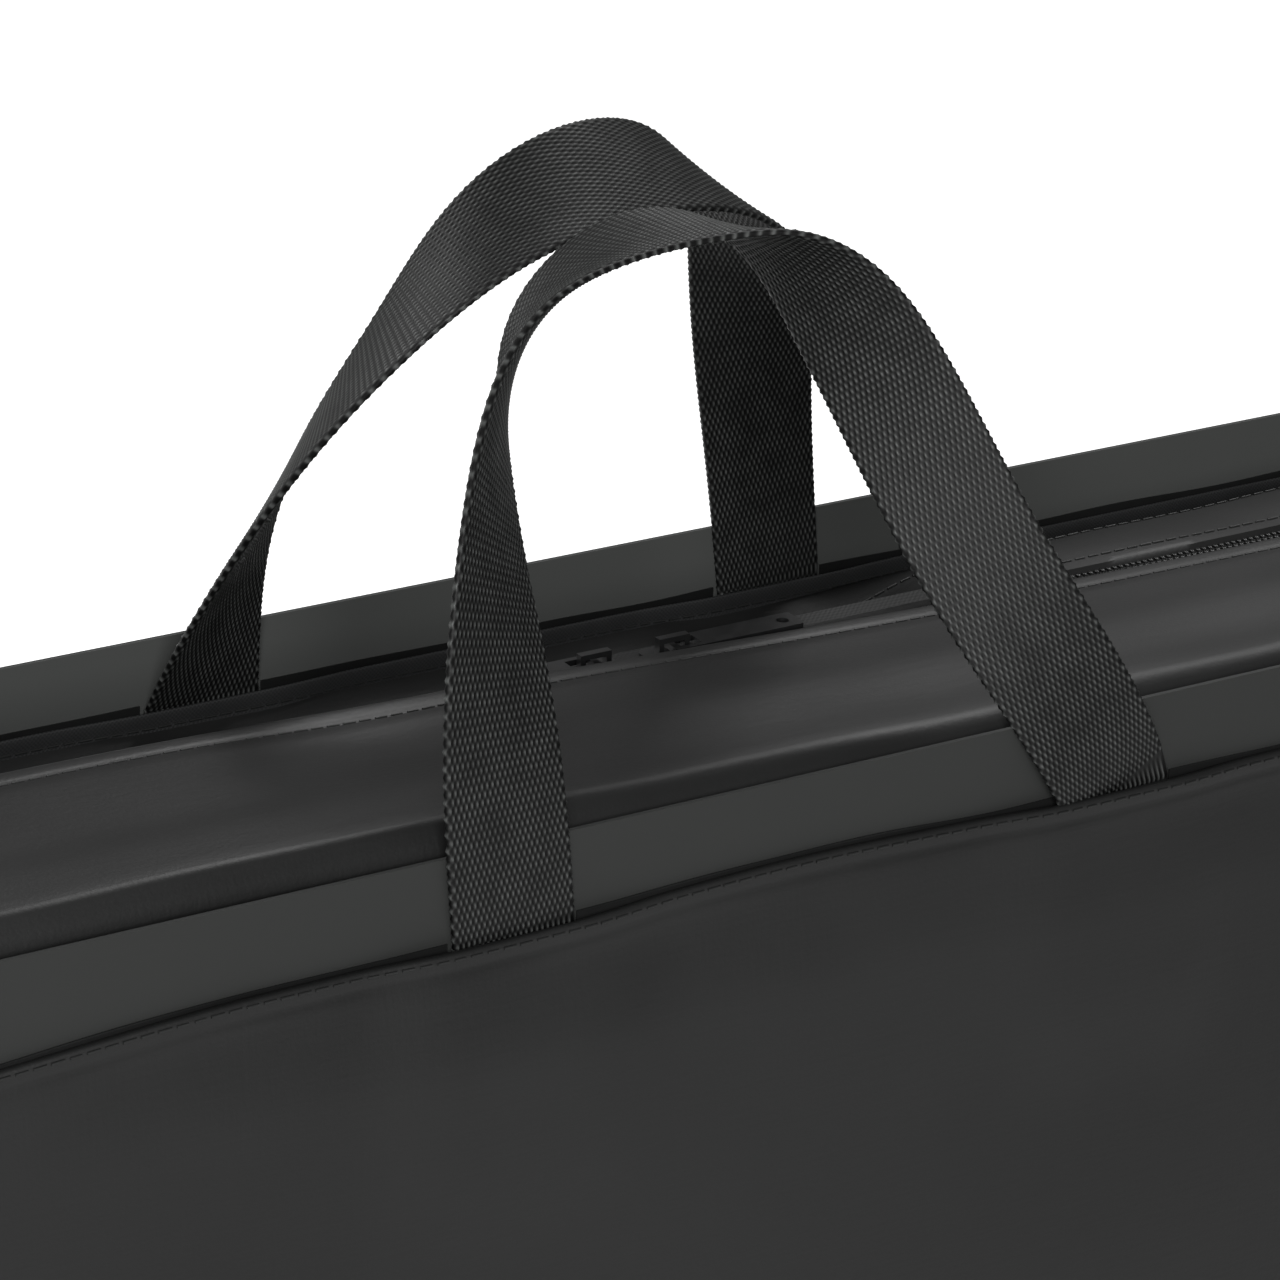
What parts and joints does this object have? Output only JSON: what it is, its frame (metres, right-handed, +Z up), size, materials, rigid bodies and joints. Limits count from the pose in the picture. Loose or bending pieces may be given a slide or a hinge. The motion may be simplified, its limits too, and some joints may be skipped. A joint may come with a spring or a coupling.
{
  "type": "portfolio case",
  "caption": "Soft-sided zip portfolio case with stiff walls, a deep gusset and a twisted webbing carrying handle on each wall.",
  "frame": {"origin": "on the floor under the middle of the case's base", "axes": "+X along the length of the case, -Y towards the front wall, +Z up"},
  "size_m": [0.66, 0.1299, 0.6104],
  "materials": {
    "black_vinyl": "soft matt vinyl with a low sheen",
    "gusset_vinyl": "soft matt vinyl with a broad sheen on its folds",
    "black_board": "smooth matt",
    "lining_cloth": "fine plain weave",
    "webbing": "heavy ribbed polypropylene weave",
    "zip_tape": "fine woven tape",
    "zip_coil": "moulded nylon",
    "zip_metal": "black enamel"
  },
  "bodies": {
    "base": {"base_board": "black_board", "base_cover": "black_vinyl", "base_lining": "lining_cloth"},
    "front_wall": {"front_board": "black_board", "front_cover": "black_vinyl", "front_handle_ends": "webbing", "front_left_gusset": "gusset_vinyl", "front_lining": "lining_cloth", "front_piping": "black_vinyl", "front_right_gusset": "gusset_vinyl", "front_top_gusset": "gusset_vinyl", "front_zip_coil": "zip_coil", "front_zip_stops": "zip_metal", "front_zip_tape": "zip_tape"},
    "back_wall": {"back_board": "black_board", "back_cover": "black_vinyl", "back_handle_ends": "webbing", "back_left_gusset": "gusset_vinyl", "back_lining": "lining_cloth", "back_piping": "black_vinyl", "back_right_gusset": "gusset_vinyl", "back_top_gusset": "gusset_vinyl", "back_zip_coil": "zip_coil", "back_zip_stops": "zip_metal", "back_zip_tape": "zip_tape"},
    "front_handle": {"front_handle": "webbing"},
    "back_handle": {"back_handle": "webbing"},
    "left_slider": {"left_slider": "zip_metal"},
    "right_slider": {"right_slider": "zip_metal"},
    "left_pull": {"left_pull": "zip_metal"},
    "right_pull": {"right_pull": "zip_metal"}
  },
  "joints": [
    {"name": "front_wall_hinge", "type": "hinge", "parent": "base", "child": "front_wall", "pos_m": [0, -0.0643, 0.0007], "axis": [-1, 0, 0], "range_deg": [-90, 0]},
    {"name": "back_wall_hinge", "type": "hinge", "parent": "base", "child": "back_wall", "pos_m": [0, 0.0643, 0.0007], "axis": [1, 0, 0], "range_deg": [-90, 0]},
    {"name": "front_handle_hinge", "type": "hinge", "parent": "front_wall", "child": "front_handle", "pos_m": [0, -0.0638, 0.4916], "axis": [1, 0, 0], "range_deg": [0, 150]},
    {"name": "back_handle_hinge", "type": "hinge", "parent": "back_wall", "child": "back_handle", "pos_m": [0, 0.0622, 0.506], "axis": [-1, 0, 0], "range_deg": [0, 180]},
    {"name": "left_slider_slide", "type": "slide", "parent": "back_wall", "child": "left_slider", "axis": [-1, 0, 0], "range_m": [0, 0.28]},
    {"name": "right_slider_slide", "type": "slide", "parent": "back_wall", "child": "right_slider", "axis": [1, 0, 0], "range_m": [0, 0.28]},
    {"name": "left_pull_hinge", "type": "hinge", "parent": "left_slider", "child": "left_pull", "pos_m": [-0.009, 0.007, 0.50655], "axis": [0, 1, 0], "range_deg": [0, 90]},
    {"name": "right_pull_hinge", "type": "hinge", "parent": "right_slider", "child": "right_pull", "pos_m": [0.009, 0.007, 0.50655], "axis": [0, -1, 0], "range_deg": [0, 90]}
  ]
}
